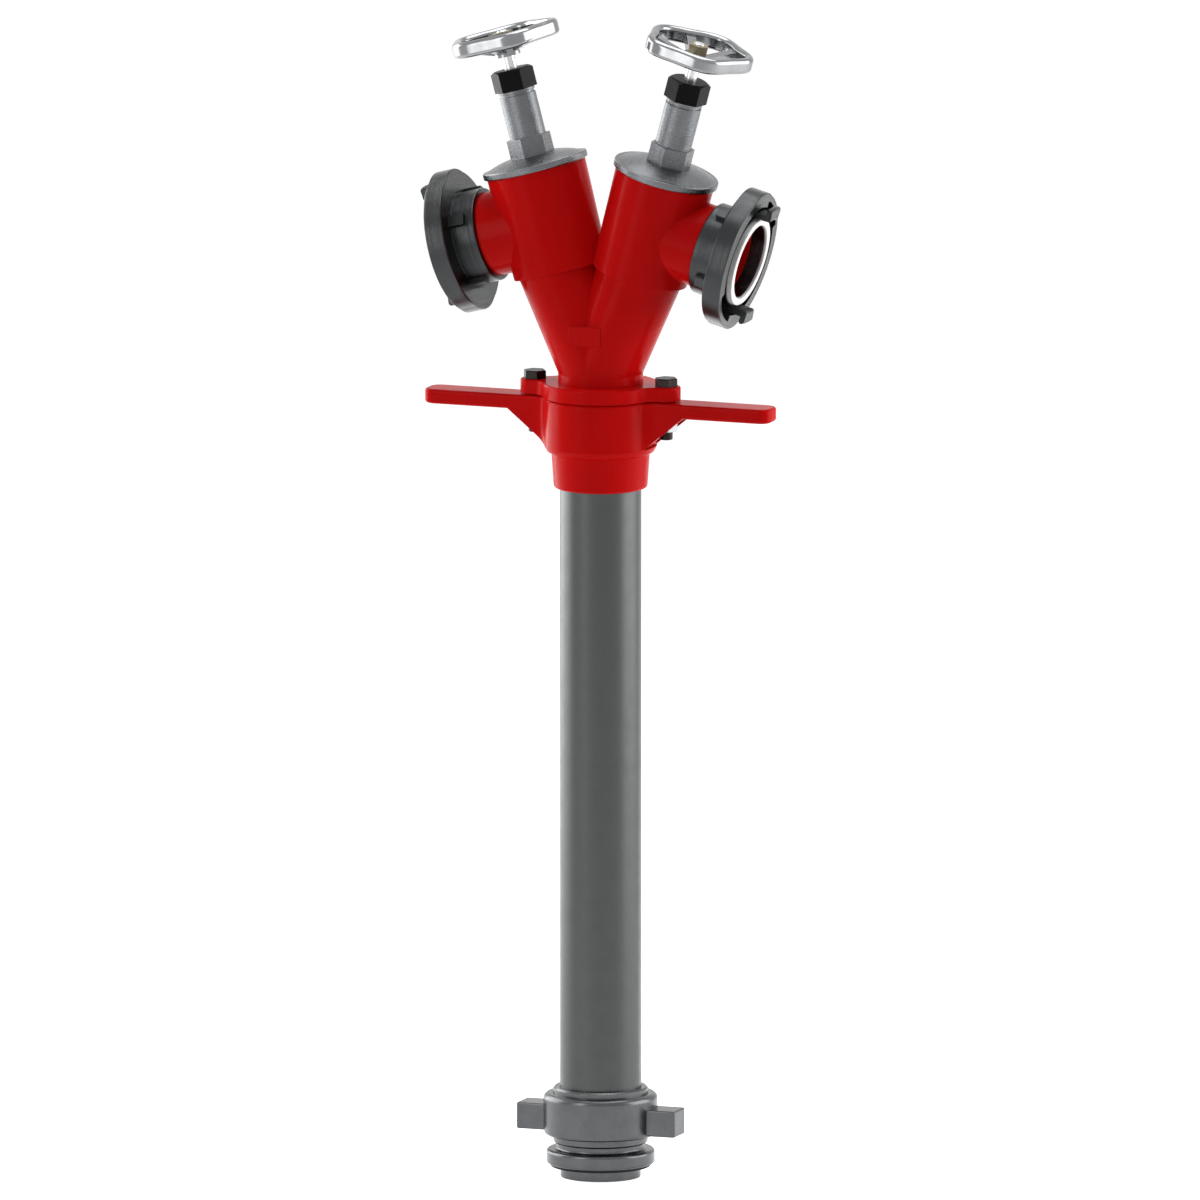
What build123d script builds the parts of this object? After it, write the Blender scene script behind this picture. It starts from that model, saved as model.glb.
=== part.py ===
from build123d import *
import math
import os

# Hydrant standpipe with a swivelling Y head, two screw-down valves and two claw outlets.
# Millimetres. Z runs up the pipe and z = 0 is the lower end of the foot's spigot.
# The handles, the claws, the valves and the outlets all lie in the XZ plane.

# Clearances
joint_gap = 0.05      # threads and glued or pressed joints that don't move
running_gap = 0.06    # radial play of a journal or a screw that turns
face_gap = 0.1        # between flat faces that slide on each other
free_gap = 0.4        # between pieces that pass each other
seal_gap = 0.04       # a seal and the walls that hold it

# Standpipe tube
tube_r = 37.5
tube_wall = 3.0
tube_bore_r = tube_r - tube_wall
tube_bottom_z = 30.0
tube_top_z = 690.0

# Foot piece
spigot_r = 36.8
spigot_bore_r = 32.0
seal_r = 46.2
seal_thickness = 5.2
seal_proud = 2.4
seal_groove = 0.8        # the seal's inner edge is held in a groove round the spigot's root
seal_round = 0.8
foot_flange_r = 50.0
foot_flange_bottom_z = 12.2
foot_flange_top_z = 26.0
foot_flange_round = 3.0
foot_neck_r = 40.8
foot_neck_round = 2.0
foot_bore_taper = 6.0
sleeve_bottom_z = 31.7
sleeve_top_z = 84.0
sleeve_r = 43.7
sleeve_chamfer = 1.6

# Claw nut
nut_bottom_z = 39.2
nut_top_z = 78.3
nut_r = 52.6
nut_top_round = 5.4
nut_bottom_round = 4.4
claw_corner = 2.5
claw_reach = 77.8
claw_width = 29.0
claw_bottom_z = 41.6
claw_top_z = 66.2
claw_round = 1.6

# Handle collar
collar_bottom_z = 643.0
collar_step_z = 675.0
collar_top_z = 726.7
collar_r = 52.0
collar_sleeve_top_r = 45.4
collar_sleeve_bottom_r = 43.2
collar_sleeve_round = 2.6
collar_foot_bevel = 2.2
collar_foot_rise = 2.4
collar_foot_height = 7.0
handle_reach = 170.0
handle_width = 31.0
handle_thickness = 13.6
handle_blend_r = 13.0
handle_corner = 11.0
handle_top_round = 2.4
handle_bottom_round = 3.2
rib_thickness = 4.2
rib_end_x = 85.3
rib_overrun = 4.0
rib_foot_x = 48.5
rib_foot_z = 683.0

# Swivel: the head's neck turns in the collar and a snap ring holds it down
neck_r = 39.2
neck_bore_r = 33.0
journal_r = 38.8
journal_bottom_z = 692.0
neck_ring_thickness = 4.0
neck_ring_r = 44.0
neck_ring_drop = 0.3
neck_ring_split = 5.0
neck_groove_r = 36.4
neck_ring_top_z = 725.6
neck_seal_section_r = 1.9
neck_seal_slack = 0.02
neck_seal_play = 0.8
neck_seal_zs = (700.0, 711.0)

# Clamp flange and its bolts
flange_gap = 1.1
flange_thickness = 13.2
flange_r = 53.5
flange_land_r = 49.5
flange_round = 1.8
flange_seam = 0.4
ear_r = 13.4
ear_blend_r = 16.0
bolt_x = 64.5
bolt_r = 6.0
bolt_hole_r = 6.75
bolt_length = 50.0
bolt_head_af = 19.0
bolt_head_height = 7.6
bolt_nut_height = 10.8
bolt_boss_r = 10.4
bolt_boss_depth = 16.8
bolt_boss_cover = 3.0
bolt_head_chamfer = 0.9
bolt_end_chamfer = 0.8
bolt_land = 3.0

# Y head: both valve axes lean outward and meet the pipe's axis at one point
valve_lean = 15.0
valve_meet_z = 700.0
neck_top_z = 750.0
leg_top_r = 40.2
chamber_bottom = 150.0      # distances along a valve axis from the meeting point
chamber_top = 245.0
chamber_outer_r = 46.4
chamber_draft = 1.1
chamber_bore_r = 37.6
seat_height = 158.0
seat_bore_r = 26.0
seat_lip = 2.0
seat_lip_r = 29.5
seat_land = 1.0
seat_throat = 6.0
seat_bore_length = 10.0

# Outlet stubs, square to the valve axes
outlet_along = 194.3
stub_r = 39.0
stub_bore_r = 33.5
stub_end = 85.4
outlet_face = 100.8

# Bonnet
bonnet_r = 49.2
bonnet_plate = 6.5
bonnet_skirt = 12.0
bonnet_skirt_wall = 6.0
bonnet_cone_r = 45.5
bonnet_cone_top_r = 22.5
bonnet_cone_height = 6.5
bonnet_hex_af = 36.0
bonnet_hex_height = 17.4
bonnet_tube_r = 17.0
bonnet_tube_top = 320.0
bonnet_groove_r = 15.8
bonnet_groove = 2.4
bonnet_boss_r = 15.0
bonnet_boss_depth = 10.0
bonnet_seal_section_r = 1.5
bonnet_inner_step = 2.0
bonnet_flare_r = 90.0
bonnet_round = 1.3

# Gland
gland_af = 35.0
gland_bottom = 320.0
gland_top = 339.7
gland_thread_r = 14.0
gland_engagement = 9.0
gland_crown_r = 16.5
gland_crown_fall = 10.7
gland_overrun = 3.0
gland_turn = {-1: 12.0, 1: 22.0}    # degrees, where each nut came to rest
packing_height = 8.0

# Spindle, valve disc and handwheel
stem_r = 6.0
screw_r = 9.0
screw_bottom = 196.0
screw_top = 272.0
spindle_foot_r = 6.5
spindle_foot_height = 6.0
spindle_neck = 9.0
spindle_neck_r = 4.5
screw_runout = 3.0
spindle_overhang = 2.4
spindle_end_chamfer = 0.8
wheel_seat_play = 1.0
disc_r = 33.0
disc_plate = 5.0
disc_seal_r = 31.5
disc_seal_bore_r = 8.0
disc_seal_thickness = 6.0
disc_hub_r = 14.0
disc_hub_flare = 4.0
disc_hub_flare_low = 2.0
disc_hub_flare_high = 6.0
disc_seal_recess = 3.0
disc_floor = 3.0
disc_screw_r = 5.0
disc_washer_r = 13.0
disc_washer_thickness = 3.0
disc_screw_head_af = 16.0
disc_screw_head = 6.5
wheel_hub_bottom = 352.0
wheel_hub_height = 13.0
wheel_hub_r = 12.2
wheel_rim_centre = 368.6
wheel_rim_height = 15.0
wheel_rim_width = 8.6
wheel_reach = 52.2
wheel_pinch = 5.6
wheel_lobes = 5
wheel_arm_width = 9.0
wheel_square = 9.0
wheel_points = 8
wheel_rim_round = 4.0
wheel_arm_depth = 8.0
wheel_nut_af = 17.0
wheel_nut_height = 9.6
wheel_thread_r = 5.0
wheel_arm_root = 3.0
wheel_arm_step = 2.0
wheel_counterbore = 1.2
wheel_counterbore_play = 0.4
wheel_turn = {-1: 17.5, 1: 49.5}      # degrees, where each wheel came to rest

# Claw coupling; distances along the outlet axis from the valve axis
coupling_back = 57.5
coupling_sleeve_r = 43.4
coupling_bore_r = 34.4
coupling_inner_lip_r = 35.4
coupling_ring_r = 64.5
coupling_ring_back = 80.4
coupling_ring_front = 98.4
coupling_lobe_r = 66.5
coupling_swell_r = 45.0
coupling_swell_blend = 10.0
coupling_lip_r = 52.5
coupling_lip = 3.8
coupling_web = 6.0
coupling_rim_r = 58.5
coupling_core_r = 43.8
coupling_core_drop = 4.8
coupling_inner_lip_drop = 1.5
coupling_edge_round = 1.6
hook_inner_r = 44.6
hook_outer_r = 50.6
hook_head_r = 57.0
hook_reach = 14.0
hook_head = 5.2
hook_half_angle = 12.0
hook_ease = 1.2
hook_nose_ease = 1.8
window_start = 15.0
window_end = 62.0
spanner_lug_r = 48.0
spanner_lug_width = 11.0
spanner_lug_length = 15.0
spanner_lug_turn = 29.0
spanner_lug_depth = 10.0
spanner_lugs = 4
gasket_r = 42.0
gasket_bore_r = 35.44
gasket_depth = 7.0
gasket_round = 0.9


def profile_plane(plane):
    """The plane in which an outline (radius, height) is drawn for a turned piece."""
    return Plane(origin=plane.origin, x_dir=plane.x_dir, z_dir=-plane.y_dir)


def outline(plane, *points):
    """A closed straight-sided outline in (radius, height) about the plane's axis."""
    with BuildSketch(profile_plane(plane)) as shape:
        with BuildLine():
            Polyline(*points, close=True)
        make_face()
    return shape.sketch


def ring_sector(plane, inner_r, outer_r, start, end):
    """A flat sector of a ring between two angles."""
    middle = (start + end) / 2
    half = math.radians((end - start) / 2)
    far = 2 * outer_r
    with BuildSketch(plane) as shape:
        Circle(outer_r)
        Circle(inner_r, mode=Mode.SUBTRACT)
        with BuildLine():
            Polyline(
                (0, 0),
                Vector(far * math.cos(half), -far * math.sin(half)).rotate(Axis.Z, middle),
                Vector(far * math.cos(half), far * math.sin(half)).rotate(Axis.Z, middle),
                close=True,
            )
        make_face(mode=Mode.INTERSECT)
    return shape.sketch


def o_ring(centre_r, section_r, plane):
    """A round-section ring lying in the plane."""
    with BuildPart() as ring:
        with BuildSketch(profile_plane(plane)):
            with Locations((centre_r, 0)):
                Circle(section_r)
        revolve(axis=Axis(plane.origin, plane.z_dir))
    return ring.part


def save(part, name):
    """Label a finished piece and write it to its own file."""
    part.label = name
    export_step(part, f"parts/{name}.step")


os.makedirs("parts", exist_ok=True)
pipe_axis = Axis.Z

# Standpipe tube: a plain drawn tube, seated in the foot and in the collar
with BuildPart() as standpipe_tube:
    with BuildSketch(Plane.XY.offset(tube_bottom_z)):
        Circle(tube_r)
        Circle(tube_bore_r, mode=Mode.SUBTRACT)
    extrude(amount=tube_top_z - tube_bottom_z)
save(standpipe_tube.part, "standpipe_tube")

# Foot piece: spigot, sealing flange, neck and the sleeve that carries the screw thread
socket_r = tube_r + joint_gap
seal_bottom_z = foot_flange_bottom_z - seal_proud
seal_seat_z = seal_bottom_z + seal_thickness + seal_gap
seal_root_r = spigot_r - seal_groove
with BuildPart() as foot_piece:
    with BuildSketch(Plane.XZ):
        with BuildLine():
            Polyline(
                (spigot_bore_r, 0),
                (spigot_r, 0),
                (spigot_r, seal_bottom_z),
                (seal_root_r, seal_bottom_z),
                (seal_root_r, seal_seat_z),
                (seal_r + seal_gap, seal_seat_z),
                (seal_r + seal_gap, foot_flange_bottom_z),
                (foot_flange_r, foot_flange_bottom_z),
                (foot_flange_r, foot_flange_top_z),
                (foot_neck_r, foot_flange_top_z),
                (foot_neck_r, sleeve_bottom_z),
                (sleeve_r, sleeve_bottom_z),
                (sleeve_r, sleeve_top_z),
                (socket_r, sleeve_top_z),
                (socket_r, tube_bottom_z),
                (tube_bore_r, tube_bottom_z),
                (spigot_bore_r, tube_bottom_z - foot_bore_taper),
                close=True,
            )
        make_face()
    revolve(axis=pipe_axis)
    rims = foot_piece.edges().filter_by(GeomType.CIRCLE)
    fillet(rims.filter_by(lambda e: abs(e.radius - foot_flange_r) < 0.01), foot_flange_round)
    fillet(rims.filter_by(
        lambda e: abs(e.radius - foot_neck_r) < 0.01).sort_by(Axis.Z)[0], foot_neck_round)
    chamfer(rims.filter_by(lambda e: abs(e.radius - sleeve_r) < 0.01), sleeve_chamfer)
save(foot_piece.part, "foot_piece")

# Foot seal: the flat rubber ring that stands a little below the flange
with BuildPart() as foot_seal:
    with BuildSketch(Plane.XY.offset(seal_bottom_z)):
        Circle(seal_r)
        Circle(seal_root_r + seal_gap, mode=Mode.SUBTRACT)
    extrude(amount=seal_thickness)
    fillet(foot_seal.faces().sort_by(Axis.Z)[0].outer_wire().edges(), seal_round)
save(foot_seal.part, "foot_seal")

# Claw nut: a ring on the sleeve's thread with two claws that catch the hydrant
claw_height = claw_top_z - claw_bottom_z
with BuildPart() as claw_nut:
    with BuildSketch(Plane.XY.offset(nut_bottom_z)):
        Circle(nut_r)
    extrude(amount=nut_top_z - nut_bottom_z)
    fillet(claw_nut.edges().filter_by(GeomType.CIRCLE).sort_by(Axis.Z)[-1], nut_top_round)
    fillet(claw_nut.edges().filter_by(GeomType.CIRCLE).sort_by(Axis.Z)[0], nut_bottom_round)
    with BuildSketch(Plane.XY.offset(claw_bottom_z)):
        RectangleRounded(2 * claw_reach, claw_width, claw_corner)
    extrude(amount=claw_height)
    fillet(claw_nut.faces().filter_by(Axis.Z).filter_by(
        lambda f: abs(f.center().X) > nut_r).edges().filter_by(
        lambda e: abs(e.center().X) > nut_r + 1), claw_round)
    with BuildSketch(Plane.XY.offset(nut_bottom_z - 1)):
        Circle(sleeve_r + running_gap)
    extrude(amount=nut_top_z - nut_bottom_z + 2, mode=Mode.SUBTRACT)
save(claw_nut.part, "claw_nut")

# Handle collar: round body, two flat handles with paired ribs, and a boss for each bolt
slab_bottom_z = collar_top_z - handle_thickness
rib_inner_y = handle_width / 2 - rib_thickness
nut_seat_z = collar_top_z - bolt_boss_depth
end_x = handle_reach + 1
with BuildPart() as handle_collar:
    with BuildSketch(Plane.XY.offset(collar_top_z)) as plan:
        RectangleRounded(2 * handle_reach, handle_width, handle_corner)
        Circle(collar_r)
        fillet(plan.vertices().filter_by(
            lambda v: math.hypot(v.X, v.Y) < collar_r + 1), handle_blend_r)
    extrude(amount=-(collar_top_z - rib_foot_z))
    with BuildSketch(Plane.XZ):
        with BuildLine():
            Polyline(
                (-end_x, collar_top_z),
                (-end_x, slab_bottom_z),
                (-rib_end_x, slab_bottom_z),
                (-rib_foot_x, rib_foot_z),
                (rib_foot_x, rib_foot_z),
                (rib_end_x, slab_bottom_z),
                (end_x, slab_bottom_z),
                (end_x, collar_top_z),
                close=True,
            )
        make_face()
    extrude(amount=collar_r + 5, both=True, mode=Mode.INTERSECT)
    fillet(handle_collar.faces().sort_by(Axis.Z)[-1].outer_wire().edges(), handle_top_round)
    fillet(handle_collar.edges().filter_by(
        lambda e: abs(e.center().Z - slab_bottom_z) < 0.01
        and abs(e.center().X) > rib_end_x + 1), handle_bottom_round)
    with BuildSketch(Plane.XY.offset(slab_bottom_z)):
        Rectangle(2 * (rib_end_x + rib_overrun), 2 * rib_inner_y)
        Circle(collar_r, mode=Mode.SUBTRACT)
    extrude(amount=rib_foot_z - slab_bottom_z - 1, mode=Mode.SUBTRACT)
    with Locations((bolt_x, 0, nut_seat_z), (-bolt_x, 0, nut_seat_z)):
        Cylinder(bolt_boss_r, collar_top_z - nut_seat_z - bolt_boss_cover,
                 align=(Align.CENTER, Align.CENTER, Align.MIN))
    # The body's rounded foot, and the long sleeve over the tube
    with BuildSketch(Plane.XZ):
        with BuildLine():
            Polyline(
                (0, collar_bottom_z),
                (collar_sleeve_bottom_r, collar_bottom_z),
                (collar_sleeve_top_r, collar_step_z),
                (collar_r - collar_foot_bevel, collar_step_z + collar_foot_rise),
                (collar_r, collar_step_z + collar_foot_height),
                (collar_r, rib_foot_z),
                (0, rib_foot_z),
                close=True,
            )
        make_face()
    revolve(axis=pipe_axis)
    fillet(handle_collar.faces().sort_by(Axis.Z)[0].outer_wire().edges(), collar_sleeve_round)
    # Stepped bore: the tube's socket, the lip it butts on, the journal and the snap ring
    with BuildSketch(Plane.XZ):
        with BuildLine():
            Polyline(
                (0, collar_bottom_z - 1),
                (socket_r, collar_bottom_z - 1),
                (socket_r, tube_top_z + face_gap),
                (tube_bore_r, tube_top_z + face_gap),
                (tube_bore_r, journal_bottom_z - face_gap),
                (journal_r + running_gap, journal_bottom_z - face_gap),
                (journal_r + running_gap, neck_ring_top_z - neck_ring_thickness - neck_ring_drop),
                (neck_ring_r + free_gap, neck_ring_top_z - neck_ring_thickness - neck_ring_drop),
                (neck_ring_r + free_gap, collar_top_z + 1),
                (0, collar_top_z + 1),
                close=True,
            )
        make_face()
    revolve(axis=pipe_axis, mode=Mode.SUBTRACT)
    with Locations((bolt_x, 0, collar_top_z), (-bolt_x, 0, collar_top_z)):
        Hole(bolt_hole_r)
save(handle_collar.part, "handle_collar")

# Clamp flange: a ring with two ears that rests on the collar by a narrow land
flange_bottom_z = collar_top_z + flange_gap
flange_top_z = flange_bottom_z + flange_thickness
with BuildPart() as clamp_flange:
    with BuildSketch(Plane.XY.offset(flange_bottom_z)) as flange_plan:
        SlotCenterToCenter(2 * bolt_x, 2 * ear_r)
        Circle(flange_r)
        fillet(flange_plan.vertices().filter_by(
            lambda v: math.hypot(v.X, v.Y) < flange_r + 1), ear_blend_r)
    extrude(amount=flange_thickness)
    fillet(clamp_flange.faces().sort_by(Axis.Z)[-1].edges(), flange_round)
    with BuildSketch(Plane.XY.offset(collar_top_z)):
        Circle(flange_land_r)
        with Locations((bolt_x, 0), (-bolt_x, 0)):
            Circle(bolt_r + bolt_land)
    extrude(amount=flange_gap + 1)
    with Locations((0, 0, flange_top_z)):
        Hole(neck_r + running_gap)
    with Locations((bolt_x, 0, flange_top_z), (-bolt_x, 0, flange_top_z)):
        Hole(bolt_hole_r)
save(clamp_flange.part, "clamp_flange")

# Flange bolts and nuts: M12, heads on the flange, nuts hanging between the ribs
bolt_spots = ((-bolt_x, 0), (bolt_x, 0))
with BuildPart() as flange_bolts:
    with BuildSketch(Plane.XY.offset(flange_top_z)):
        with Locations(*bolt_spots):
            RegularPolygon(bolt_head_af / 2, 6, major_radius=False)
    extrude(amount=bolt_head_height)
    chamfer(flange_bolts.faces().sort_by(Axis.Z)[-2:].edges(), bolt_head_chamfer)
    with BuildSketch(Plane.XY.offset(flange_top_z)):
        with Locations(*bolt_spots):
            Circle(bolt_r)
    extrude(amount=-bolt_length)
    chamfer(flange_bolts.faces().sort_by(Axis.Z)[:2].edges(), bolt_end_chamfer)
save(flange_bolts.part, "flange_bolts")

with BuildPart() as flange_nuts:
    with BuildSketch(Plane.XY.offset(nut_seat_z)):
        with Locations(*bolt_spots):
            RegularPolygon(bolt_head_af / 2, 6, major_radius=False)
            Circle(bolt_r + joint_gap, mode=Mode.SUBTRACT)
    extrude(amount=-bolt_nut_height)
save(flange_nuts.part, "flange_nuts")


def valve_plane(side):
    """Z runs up the valve's axis and X points along its outlet; side is 1 or -1."""
    lean = math.radians(valve_lean)
    return Plane(
        origin=(0, 0, valve_meet_z),
        x_dir=(side * math.cos(lean), 0, -math.sin(lean)),
        z_dir=(side * math.sin(lean), 0, math.cos(lean)),
    )


def turned(plane, angle):
    """The plane turned about its own Z axis."""
    turn = math.radians(angle)
    return Plane(
        origin=plane.origin,
        x_dir=plane.x_dir * math.cos(turn) + plane.y_dir * math.sin(turn),
        z_dir=plane.z_dir,
    )


def outlet_plane(side):
    """Z runs out along the outlet's axis and X points up the valve's axis."""
    valve = valve_plane(side)
    return Plane(
        origin=valve.offset(outlet_along).origin,
        x_dir=valve.z_dir,
        z_dir=valve.x_dir,
    )


# Head casting: neck, two legs, two valve chambers with their seats and two outlet stubs
sides = (("left", -1), ("right", 1))
neck_seam_z = flange_bottom_z - flange_seam
with BuildPart() as head_casting:
    with BuildSketch(Plane.XY.offset(neck_seam_z)):
        Circle(neck_r)
    extrude(amount=neck_top_z - neck_seam_z)
    for name, side in sides:
        valve = valve_plane(side)
        with BuildSketch(Plane.XY.offset(neck_top_z)):
            Circle(neck_r)
        with BuildSketch(valve.offset(chamber_bottom)):
            Circle(leg_top_r)
        loft()
    for name, side in sides:
        valve = valve_plane(side)
        with BuildSketch(valve.offset(chamber_top)):
            Circle(chamber_outer_r)
        extrude(amount=-(chamber_top - chamber_bottom + 1), taper=chamber_draft)
    for name, side in sides:
        with BuildSketch(outlet_plane(side)):
            Circle(stub_r)
        extrude(amount=stub_end)
    # Journal with its grooves, a little slimmer than the neck above it
    with BuildSketch(Plane.XZ):
        groove_low_z = neck_ring_top_z - neck_ring_thickness - face_gap
        groove_high_z = neck_ring_top_z + face_gap
        seal_groove_r = journal_r - 2 * neck_seal_section_r
        with BuildLine():
            Polyline(
                (0, journal_bottom_z),
                (journal_r, journal_bottom_z),
                (journal_r, groove_low_z),
                (neck_groove_r, groove_low_z),
                (neck_groove_r, groove_high_z),
                (journal_r, groove_high_z),
                (journal_r, neck_seam_z),
                (0, neck_seam_z),
                close=True,
            )
        make_face()
    revolve(axis=pipe_axis)
    with BuildSketch(Plane.XZ):
        for seal_z in neck_seal_zs:
            with Locations(((journal_r + seal_groove_r) / 2, seal_z)):
                Rectangle(journal_r - seal_groove_r, 2 * neck_seal_section_r + neck_seal_play)
    revolve(axis=pipe_axis, mode=Mode.SUBTRACT)
    # Waterway: up the neck, through each leg and seat, into the chamber and out of the stub
    with BuildSketch(Plane.XY.offset(journal_bottom_z - 1)):
        Circle(neck_bore_r)
    extrude(amount=neck_top_z - journal_bottom_z + 1, mode=Mode.SUBTRACT)
    for name, side in sides:
        valve = valve_plane(side)
        with BuildSketch(Plane.XY.offset(neck_top_z)):
            Circle(neck_bore_r)
        with BuildSketch(valve.offset(seat_height - seat_throat)):
            Circle(seat_bore_r)
        loft(mode=Mode.SUBTRACT)
        with BuildSketch(valve.offset(seat_height - seat_throat)):
            Circle(seat_bore_r)
        extrude(amount=seat_bore_length, mode=Mode.SUBTRACT)
        with BuildSketch(valve.offset(seat_height)):
            Circle(chamber_bore_r)
            Circle(seat_lip_r, mode=Mode.SUBTRACT)
        extrude(amount=chamber_top - seat_height, mode=Mode.SUBTRACT)
        with BuildSketch(valve.offset(seat_height + seat_lip)):
            Circle(seat_lip_r + seat_land)
        extrude(amount=chamber_top - seat_height - seat_lip, mode=Mode.SUBTRACT)
        with BuildSketch(outlet_plane(side)):
            Circle(stub_bore_r)
        extrude(amount=stub_end, mode=Mode.SUBTRACT)
save(head_casting.part, "head_casting")

# Neck ring: a split snap ring in the neck's groove, trapped under the clamp flange
with BuildPart() as neck_ring:
    with BuildSketch(Plane.XY.offset(neck_ring_top_z - neck_ring_thickness)):
        Circle(neck_ring_r)
        Circle(neck_groove_r + joint_gap, mode=Mode.SUBTRACT)
        with Locations((0, -neck_ring_r)):
            Rectangle(neck_ring_split, 4 * (neck_ring_r - neck_groove_r), mode=Mode.SUBTRACT)
    extrude(amount=neck_ring_thickness)
save(neck_ring.part, "neck_ring")

# Neck seals: two O-rings in the journal's grooves
with BuildPart() as neck_seals:
    with BuildSketch(Plane.XZ):
        for seal_z in neck_seal_zs:
            with Locations((journal_r - neck_seal_section_r, seal_z)):
                Circle(neck_seal_section_r - neck_seal_slack)
    revolve(axis=pipe_axis)
save(neck_seals.part, "neck_seals")


def bonnet(side):
    """Screwed cap with a flared root, a hexagon and the long tube that carries the screw."""
    valve = valve_plane(side)
    axis = Axis(valve.origin, valve.z_dir)
    plate_top = chamber_top + bonnet_plate
    hex_bottom = plate_top + bonnet_cone_height
    skirt_r = chamber_bore_r - joint_gap
    seal_groove = 2 * bonnet_seal_section_r
    gland_bore_r = gland_thread_r + joint_gap
    with BuildPart() as body:
        with BuildSketch(profile_plane(valve)):
            with BuildLine():
                flare = Polyline(
                    (screw_r + running_gap, chamber_top - bonnet_boss_depth),
                    (bonnet_boss_r, chamber_top - bonnet_boss_depth),
                    (bonnet_boss_r, chamber_top - bonnet_inner_step),
                    (skirt_r - bonnet_skirt_wall, chamber_top - bonnet_inner_step),
                    (skirt_r - bonnet_skirt_wall, chamber_top - bonnet_skirt),
                    (skirt_r, chamber_top - bonnet_skirt),
                    (skirt_r, chamber_top - seal_groove),
                    (skirt_r - seal_groove, chamber_top - seal_groove),
                    (skirt_r - seal_groove, chamber_top),
                    (bonnet_r, chamber_top),
                    (bonnet_r, plate_top),
                    (bonnet_cone_r, plate_top),
                )
                RadiusArc(flare @ 1, (bonnet_cone_top_r, hex_bottom), -bonnet_flare_r)
                Polyline(
                    (bonnet_cone_top_r, hex_bottom),
                    (bonnet_tube_r, hex_bottom),
                    (bonnet_tube_r, bonnet_tube_top - 2 * bonnet_groove),
                    (bonnet_groove_r, bonnet_tube_top - 2 * bonnet_groove),
                    (bonnet_groove_r, bonnet_tube_top - bonnet_groove),
                    (bonnet_tube_r, bonnet_tube_top - bonnet_groove),
                    (bonnet_tube_r, bonnet_tube_top),
                    (gland_bore_r, bonnet_tube_top),
                    (gland_bore_r, bonnet_tube_top - gland_engagement - packing_height),
                    (screw_r + running_gap, bonnet_tube_top - gland_engagement - packing_height),
                    (screw_r + running_gap, chamber_top - bonnet_boss_depth),
                )
            make_face()
        revolve(axis=axis)
        rims = body.edges().filter_by(GeomType.CIRCLE)
        fillet(rims.filter_by(lambda e: abs(e.radius - bonnet_r) < 0.01), bonnet_round)
        with BuildSketch(valve.offset(hex_bottom - 1)):
            RegularPolygon(bonnet_hex_af / 2, 6, major_radius=False, rotation=30)
            Circle(bonnet_tube_r - 1, mode=Mode.SUBTRACT)
        extrude(amount=bonnet_hex_height + 1)
    return body.part


def gland_nut(side):
    """Hexagon nut with a chamfered crown and a threaded shank that presses the packing."""
    valve = valve_plane(side)
    with BuildPart() as body:
        with BuildSketch(valve.offset(gland_bottom + joint_gap)):
            RegularPolygon(gland_af / 2, 6, major_radius=False, rotation=gland_turn[side])
        extrude(amount=gland_top - gland_bottom)
        crown = outline(
            valve,
            (0, gland_bottom - 1),
            (gland_af, gland_bottom - 1),
            (gland_af, gland_top - gland_crown_fall),
            (gland_crown_r, gland_top + joint_gap),
            (0, gland_top + joint_gap),
        )
        revolve(crown, axis=Axis(valve.origin, valve.z_dir), mode=Mode.INTERSECT)
        with BuildSketch(valve.offset(gland_bottom + joint_gap)):
            Circle(gland_thread_r)
        extrude(amount=-gland_engagement)
        with BuildSketch(valve.offset(gland_top + 1)):
            Circle(stem_r + running_gap)
        extrude(amount=-(gland_top - gland_bottom + gland_engagement + gland_overrun), mode=Mode.SUBTRACT)
    return body.part


def packing(side):
    """Packing ring round the stem, between the screw's end and the gland."""
    valve = valve_plane(side)
    top = gland_bottom - gland_engagement
    with BuildPart() as body:
        with BuildSketch(valve.offset(top)):
            Circle(gland_thread_r)
            Circle(stem_r + running_gap, mode=Mode.SUBTRACT)
        extrude(amount=-(packing_height - joint_gap))
    return body.part


for name, side in sides:
    save(bonnet(side), f"{name}_bonnet")
    seal_plane = valve_plane(side).offset(chamber_top - bonnet_seal_section_r)
    seal_centre_r = chamber_bore_r - bonnet_seal_section_r - seal_gap
    save(o_ring(seal_centre_r, bonnet_seal_section_r - seal_gap, seal_plane), f"{name}_bonnet_seal")
    save(gland_nut(side), f"{name}_gland_nut")
    save(packing(side), f"{name}_packing")


def ring_plan():
    """Outline of the coupling's ring: a circle that swells where the hooks stand."""
    swell_x = coupling_lobe_r - coupling_swell_r
    with BuildSketch() as shape:
        Circle(coupling_ring_r)
        with Locations((swell_x, 0), (-swell_x, 0)):
            Circle(coupling_swell_r)
        fillet(shape.vertices(), coupling_swell_blend)
    return shape.sketch


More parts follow.
